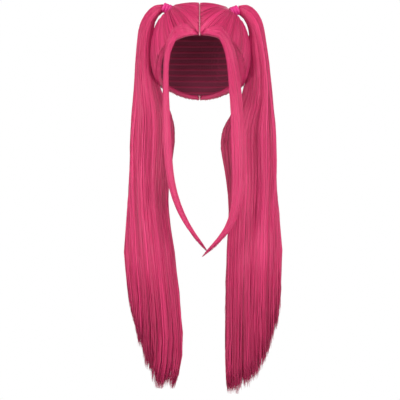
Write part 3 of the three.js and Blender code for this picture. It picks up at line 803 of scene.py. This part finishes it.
def lock_pieces(name, sign):
    crown = ray_tree(f"crown_hair_{name}")
    body = lock_body(name, sign)
    total = body["length"][-1]
    rows, around = 110, 48
    at = np.linspace(0.0, total, rows)[:, None] * np.ones((1, around))
    round_share = np.arange(around)[None, :] / around * np.ones((rows, 1))
    thin = mix(0.84, 0.35, ease(at, total - 0.22, total))
    rings, _ = on_body(body, at, round_share, thin)
    # The mass's tint sits below the strands' so that hair seen between strands reads darker: painted shade
    mass = mass_piece(f"lock_{name}_mass", rings, 0.0012, 0.42, HAIR)
    finish_piece(mass, "hair", f"face_lock_{name}")

    count = LOCK_STRANDS
    stops = np.linspace(0.0, 1.0, 23)
    clump = chance.integers(0, LOCK_CLUMPS, count)
    ends = total * np.clip(1.0 - np.abs(chance.normal(0.0, 0.04, (count, 1))), 0.75, 1.0)
    at = ends * stops
    clump_round = (np.arange(LOCK_CLUMPS) + 0.5) / LOCK_CLUMPS
    drift = wander(LOCK_CLUMPS, stops * total, ((0.006, 0.40),))[clump]
    round_share = clump_round[clump][:, None] + chance.normal(0.0, 0.012, (count, 1)) + drift
    round_share = round_share + wander(count, stops * total, ((0.006, 0.30),))
    depth = 0.98 - np.abs(chance.normal(0.0, 0.10, (count, 1)))
    depth = np.clip(depth + wander(count, stops * total, ((0.012, 0.2),)), 0.3, 1.02)
    depth = depth * mix(1.0, 0.55, ease(at, total - 0.20, total))
    paths, facing = on_body(body, at, round_share, depth)
    onward = unit(paths[:, -1] - paths[:, -4]) * chance.uniform(0.003, 0.018, (count, 1))
    paths[:, -1] += onward

    first = paths[:, 0]
    along = unit(paths[:, 1] - first)
    height = unit(body["outward"][0])
    upper = (first - body["middle"][0]) @ height
    upper = ((upper - upper.min()) / np.ptp(upper))[:, None]
    low_root = point_on_crown(crown, LOCK_ROOT_LOW * np.array((sign, 1.0, 1.0)))
    high_root = point_on_crown(crown, LOCK_ROOT_HIGH * np.array((sign, 1.0, 1.0)))
    root = mix(low_root, high_root, upper)
    root = root + chance.normal(0.0, 0.0009, (count, 3))
    gap = np.linalg.norm(first - root, axis=1, keepdims=True)
    handle = first - along * gap * 0.55
    share = np.array((0.0, 0.25, 0.5, 0.75))[None, :, None]
    early = (1 - share) ** 2 * root[:, None] + 2 * share * (1 - share) * handle[:, None] + share**2 * first[:, None]
    paths = np.concatenate([early, paths], axis=1)
    facing = np.concatenate([np.repeat(facing[:, :1], 4, axis=1), facing], axis=1)

    left = np.concatenate([np.full((count, 4), 1.0), ends * (1.0 - stops)], axis=1)
    taper = np.clip(left / 0.10, 0.0, 1.0) ** 0.7 * 0.85 + 0.15
    rooted = np.concatenate([(0.5, 0.65, 0.8, 0.9), np.ones(len(stops))])
    radii = LOCK_STRAND * chance.uniform(0.75, 1.2, (count, 1)) * taper * rooted
    tints = 0.55 + broad_tint(clump_round)[clump] + chance.normal(0.0, 0.08, count)
    strands = strands_piece(f"lock_{name}_strands", paths, facing, radii, np.clip(tints, 0.05, 0.95), HAIR)
    finish_piece(strands, "hair")


# ---- The combed crown ----


def cap_radius(directions):
    return 1.0 / np.linalg.norm(directions / CAP_HALF_SIZES, axis=-1)


def turned(start, end, share):
    """Directions part of the way round from one unit vector to another."""
    angle = np.arccos(np.clip(np.sum(start * end, axis=-1, keepdims=True), -1.0, 1.0))
    return (np.sin((1.0 - share) * angle) * start + np.sin(share * angle) * end) / np.sin(angle)


def outer_reach(tree, direction):
    """How far out from the head's middle the solid goes that way, or None."""
    far = HEAD_MIDDLE + direction * 0.4
    hit, _, _, _ = tree.ray_cast(Vector(far), Vector(-direction), 0.4)
    return None if hit is None else float((np.array(hit) - HEAD_MIDDLE) @ direction)


def inner_reach(tree, direction):
    hit, _, _, _ = tree.ray_cast(Vector(HEAD_MIDDLE), Vector(direction))
    return None if hit is None else float((np.array(hit) - HEAD_MIDDLE) @ direction)


def comb_grid(name, sign):
    """The combed half as lines from the parting and the hair's edge up to the tie."""
    tree = ray_tree(f"crown_hair_{name}")
    tie = tie_place(name)
    neck = tie["middle"] - tie["axis"] * (tie["half"] + 0.001)
    to_neck = unit(neck - HEAD_MIDDLE)
    to_back = unit(BACK - to_neck * to_neck[1])
    to_under = np.cross(to_back, to_neck) * sign

    def direction_at(angle, away):
        across = to_under * math.cos(angle) + to_back * math.sin(angle)
        return to_neck * math.cos(away) + across * math.sin(away)

    def line_end(angle):
        inside, outside = 0.0, math.radians(16.0)
        while outside < math.pi and outer_reach(tree, direction_at(angle, outside)) is not None:
            inside = outside
            outside += math.radians(3.0)
        for _ in range(16):
            half = (inside + outside) / 2.0
            if outer_reach(tree, direction_at(angle, half)) is None:
                outside = half
            else:
                inside = half
        return direction_at(angle, inside - 0.0005)

    angles = np.linspace(0.0, 2.0 * math.pi, 721)
    ends = np.array([line_end(angle) for angle in angles])
    length = np.concatenate([[0.0], np.cumsum(np.linalg.norm(np.diff(ends, axis=0), axis=1))])
    stops = np.linspace(0.0, length[-1], COMB_LINES, endpoint=False)
    line_angles = np.interp(stops, length, angles)
    starts = np.array([line_end(angle) for angle in line_angles])
    around = tie["under"] * np.cos(line_angles)[:, None] + BACK * np.sin(line_angles)[:, None]
    neck_ring = neck + around * 0.0092 - HEAD_MIDDLE
    finishes = unit(neck_ring)
    shares = np.linspace(0.0, 1.0, COMB_STEPS)
    directions = turned(starts[:, None], finishes[:, None], shares[None, :, None])
    outer = np.zeros((COMB_LINES, COMB_STEPS))
    inner = np.zeros((COMB_LINES, COMB_STEPS))
    measured = shares < 0.92
    for line in range(COMB_LINES):
        for step in range(COMB_STEPS):
            out = outer_reach(tree, directions[line, step])
            into = inner_reach(tree, directions[line, step])
            outer[line, step] = np.nan if out is None else out
            inner[line, step] = np.nan if into is None else into
        known = measured & np.isfinite(outer[line])
        places = np.append(shares[known], 1.0)
        values = np.append(outer[line][known], np.linalg.norm(neck_ring[line]))
        outer[line] = np.interp(shares, places, values)
        known = np.isfinite(inner[line]) & measured
        inner[line] = np.interp(shares, shares[known], inner[line][known])
    base = cap_radius(directions)
    hair = smoothed(outer - base, 1.6, wrap=True)
    hair = smoothed(hair.T, 0.9).T
    lining = smoothed(inner - base, 2.0, wrap=True)
    return {
        "directions": directions,
        "outer": base + hair,
        "inner": base + np.maximum(lining, 0.0),
        "shares": shares,
        "starts": starts,
        "finishes": finishes,
        "tie": tie,
        "around": around,
        "neck": neck,
    }


def crown_mass(name, grid):
    """The closed body under the combed strands, with the bundle that runs into the tie."""
    directions = grid["directions"]
    outer = HEAD_MIDDLE + directions * (grid["outer"] - 0.0026)[..., None]
    inner = HEAD_MIDDLE + directions * (grid["inner"] + 0.0002)[..., None]
    tie = grid["tie"]
    bundle = [
        grid["neck"] + tie["axis"] * along + grid["around"] * radius
        for along, radius in ((0.0, 0.0078), (0.003, 0.0074), (0.008, 0.0074))
    ]
    rings = [inner[:, step] for step in range(COMB_STEPS - 1, -1, -1)]
    rings += [outer[:, step] for step in range(COMB_STEPS)]
    rings += bundle
    # The mass's tint sits below the strands' so that hair seen between strands reads darker: painted shade
    mass = mass_piece(f"crown_{name}_mass", np.array(rings), 0.0012, 0.42, HAIR)
    return finish_piece(mass, "hair", f"crown_hair_{name}")


def crown_strands(name, sign, grid):
    """Strands combed flat over the half, rooted in its edge and running into the tie."""
    count = CROWN_STRANDS
    clump = chance.integers(0, CROWN_CLUMPS, count)
    clump_line = (np.arange(CROWN_CLUMPS) + chance.uniform(-0.3, 0.3, CROWN_CLUMPS)) / CROWN_CLUMPS
    line = (clump_line[clump] + chance.normal(0.0, 0.003, count)) % 1.0 * COMB_LINES
    first = np.floor(line).astype(int) % COMB_LINES
    second = (first + 1) % COMB_LINES
    part = (line - np.floor(line))[:, None]
    start = unit(mix(grid["starts"][first], grid["starts"][second], part))
    finish = unit(mix(grid["finishes"][first], grid["finishes"][second], part))
    around = unit(mix(grid["around"][first], grid["around"][second], part))

    shares = np.array((0.0, 0.02, 0.05, 0.1, 0.17, 0.25, 0.34, 0.43, 0.52, 0.61, 0.7, 0.78, 0.86, 0.93, 0.98))
    stations = len(shares)
    at_parting = np.abs(start[:, 0]) * 0.11 < 0.004
    arc = np.arccos(np.clip(np.sum(start * finish, axis=1), -1.0, 1.0)) * 0.11
    past = np.where(at_parting, 0.0004, chance.uniform(0.0, 0.0007, count)) / arc
    travel = mix(-past[:, None], 1.0, shares[None, :])
    directions = turned(start[:, None], finish[:, None], travel[..., None])

    steps = np.clip(shares, 0.0, 1.0) * (COMB_STEPS - 1)
    low = np.clip(np.floor(steps).astype(int), 0, COMB_STEPS - 2)
    rise = (steps - low)[None, :]

    def read(table):
        near = mix(table[first][:, low], table[second][:, low], part)
        far = mix(table[first][:, low + 1], table[second][:, low + 1], part)
        return mix(near, far, rise)

    outer, inner = read(grid["outer"]), read(grid["inner"])
    clump_lift = chance.normal(0.0, 0.0002, CROWN_CLUMPS)[clump][:, None]
    lift = clump_lift + chance.uniform(-0.0018, -0.0005, (count, 1))
    lift = lift + wander(count, shares * 0.12, ((0.0001, 0.06),))
    root_low = np.where(at_parting, 0.72, 0.15)
    root = mix(inner[:, :1], outer[:, :1], chance.uniform(root_low, 1.0)[:, None])
    lifted = ease(shares, -0.02, 0.07)[None, :]
    reach = mix(root, outer + lift, lifted)
    paths = HEAD_MIDDLE + directions * reach[..., None]

    tie = grid["tie"]
    gathered = ease(shares, 0.88, 1.0)[None, :, None]
    ring_radius = chance.uniform(0.0072, 0.0094, (count, 1))
    ring = grid["neck"] + around * ring_radius
    paths = mix(paths, ring[:, None] - tie["axis"] * (1.0 - shares[None, :, None]) * 0.03, gathered * 0.85)
    inside = grid["neck"] + tie["axis"] * 0.005 + around * 0.0072
    paths = np.concatenate([paths, inside[:, None]], axis=1)
    facing = np.concatenate([directions, around[:, None]], axis=1)
    slim = np.append(mix(1.0, 0.42, shares**1.3) * mix(0.35, 1.0, ease(shares, 0.0, 0.08)), 0.36)
    radii = CROWN_STRAND * chance.uniform(0.75, 1.2, (count, 1)) * slim
    tints = np.clip(0.47 + broad_tint(clump_line)[clump] + chance.normal(0.0, 0.08, count), 0.05, 0.95)
    strands = strands_piece(f"crown_{name}_strands", paths, facing, radii, tints, HAIR)
    return finish_piece(strands, "hair")


# ---- The net cap and the parting ----


def net_cap():
    """A thin knitted shell that follows the head, cut along the hair's edge."""
    tree = ray_tree("cap")
    bpy.ops.mesh.primitive_uv_sphere_add(segments=96, ring_count=48, radius=1.0)
    cap = bpy.context.object
    cap.name = "cap_net_shell"
    bpy.ops.object.mode_set(mode="EDIT")
    bpy.ops.mesh.select_all(action="SELECT")
    bpy.ops.mesh.bisect(plane_co=(0.0, 0.0, -0.01), plane_no=(0.0, 0.0, 1.0), clear_inner=True)
    bpy.ops.object.mode_set(mode="OBJECT")

    def edge_polar(azimuth):
        low, high = math.radians(20.0), math.radians(170.0)
        for _ in range(18):
            half = (low + high) / 2.0
            direction = np.array(
                (math.sin(half) * math.sin(azimuth), -math.sin(half) * math.cos(azimuth), math.cos(half))
            )
            if inner_reach(tree, direction) is None:
                high = half
            else:
                low = half
        return low

    azimuths = np.linspace(-math.pi, math.pi, 97)
    edges = smoothed(np.array([edge_polar(a) for a in azimuths[:-1]]), 1.2, wrap=True)
    edges = np.append(edges, edges[0])
    uv_layer = cap.data.uv_layers.active.data
    for vertex in cap.data.vertices:
        x, y, z = vertex.co
        azimuth = math.atan2(x, -y)
        polar = math.acos(max(-1.0, min(1.0, z))) / math.acos(-0.01)
        polar *= np.interp(azimuth, azimuths, edges)
        direction = np.array(
            (math.sin(polar) * math.sin(azimuth), -math.sin(polar) * math.cos(azimuth), math.cos(polar))
        )
        vertex.co = HEAD_MIDDLE + direction * (cap_radius(direction) - 0.0001)
    for loop, corner in zip(cap.data.loops, uv_layer):
        place = cap.data.vertices[loop.vertex_index].co
        corner.uv = (place.x, place.y) if place.z > -0.06 else (place.x + place.y, place.z)
    wall = cap.modifiers.new("wall", "SOLIDIFY")
    wall.thickness = 0.0011
    wall.offset = -1.0
    bpy.ops.object.modifier_apply(modifier=wall.name)
    bpy.ops.object.shade_smooth()
    cap.data.materials.append(NET)
    cap.select_set(False)
    return finish_piece(cap, "cap_net", "cap")


def parting_strip():
    """The strip of false skin, rounded over along the head from the forehead to the nape."""
    points, _ = solid_arrays("parting_strip")
    tree = ray_tree("parting_strip")
    half_width = np.abs(points[:, 0]).max()
    turns = np.radians(np.linspace(-150.0, 150.0, 1201))
    found = [t for t in turns if outer_reach(tree, np.array((0.0, math.sin(t), math.cos(t)))) is not None]
    angles = np.linspace(found[0], found[-1], 120)
    directions = np.stack([np.zeros(120), np.sin(angles), np.cos(angles)], axis=1)
    inside = [outer_reach(tree, d) for d in directions[1:-1]]
    outer = smoothed(np.array([inside[0], *inside, inside[-1]]), 6.0)
    low = outer - 0.0065
    section = ((-1.0, 0.0), (-1.0, 0.85), (-0.6, 1.0), (0.0, 1.03), (0.6, 1.0), (1.0, 0.85), (1.0, 0.0))
    rings = np.zeros((120, len(section), 3))
    for index, (across, up) in enumerate(section):
        reach = mix(low, outer, up)
        rings[:, index] = HEAD_MIDDLE + directions * reach[:, None]
        rings[:, index, 0] = across * half_width
    strip = mass_piece("parting_skin_strip", rings, 0.0012, 0.5, SKIN)
    return finish_piece(strip, "parting_skin", "parting_strip")


# ---- Making the wig ----

net_cap()
parting_strip()
for side_name, side_sign in SIDES:
    comb = comb_grid(side_name, side_sign)
    crown_mass(side_name, comb)
    crown_strands(side_name, side_sign, comb)
    wound_tie(side_name)
    pigtail_pieces(side_name, side_sign)
    lock_pieces(side_name, side_sign)


# ---- The studio ----


def pale_floor():
    bpy.ops.mesh.primitive_circle_add(vertices=96, radius=3.1, fill_type="NGON", location=(0.0, 0.0, -1.2))
    floor = bpy.context.object
    floor.name = "studio_floor"
    material, _, shader = new_finish("studio_paper")
    shader.inputs["Base Color"].default_value = (0.90, 0.90, 0.90, 1.0)
    shader.inputs["Roughness"].default_value = 0.9
    floor.data.materials.append(material)


def soft_light(name, place, target, width, power):
    lamp = bpy.data.lights.new(name, "AREA")
    lamp.shape = "DISK"
    lamp.size = width
    lamp.energy = power
    holder = bpy.data.objects.new(name, lamp)
    holder.location = place
    holder.rotation_euler = (Vector(target) - Vector(place)).to_track_quat("-Z", "Y").to_euler()
    bpy.context.scene.collection.objects.link(holder)


def studio_air():
    """White all round at eye level, and softer overhead, so that the hair keeps its shape."""
    world = bpy.data.worlds.new("studio_air")
    world.use_nodes = True
    tree = world.node_tree
    place = node_at(tree, "ShaderNodeTexCoord")
    parts = node_at(tree, "ShaderNodeSeparateXYZ")
    height = node_at(tree, "ShaderNodeMapRange")
    height.inputs["From Min"].default_value = -1.0
    height.inputs["From Max"].default_value = 1.0
    ramp = node_at(tree, "ShaderNodeValToRGB")
    colour_stops(
        ramp,
        (
            (0.0, (0.40, 0.40, 0.40)),
            (0.28, (1.0, 1.0, 1.0)),
            (0.58, (1.0, 1.0, 1.0)),
            (0.80, (0.45, 0.45, 0.45)),
        ),
    )
    tree.links.new(place.outputs["Generated"], parts.inputs["Vector"])
    tree.links.new(parts.outputs["Z"], height.inputs["Value"])
    tree.links.new(height.outputs["Result"], ramp.inputs["Fac"])
    tree.links.new(ramp.outputs["Color"], tree.nodes["Background"].inputs["Color"])
    return world


def studio():
    pale_floor()
    soft_light("key_light", (-1.1, -1.5, 0.0), (0.0, 0.0, -0.3), 0.8, 17.0)
    soft_light("fill_light", (1.2, -1.4, -0.1), (0.0, 0.0, -0.3), 0.8, 14.0)
    soft_light("top_light", (0.0, -0.8, 1.2), (0.0, 0.0, -0.1), 0.9, 13.0)
    soft_light("back_light", (0.4, 2.2, 0.4), (0.0, 0.0, -0.3), 1.2, 26.0)
    bpy.context.scene.world = studio_air()
    bpy.context.scene.view_settings.view_transform = "Standard"


def photo_camera():
    camera = bpy.data.cameras.new("photo_camera")
    camera.sensor_width = 36.0
    camera.lens = 630.0
    holder = bpy.data.objects.new("photo_camera", camera)
    holder.location = (0.0008, -14.0, -0.384)
    holder.rotation_euler = (math.radians(90.0), 0.0, 0.0)
    bpy.context.scene.collection.objects.link(holder)
    bpy.context.scene.camera = holder


studio()
photo_camera()
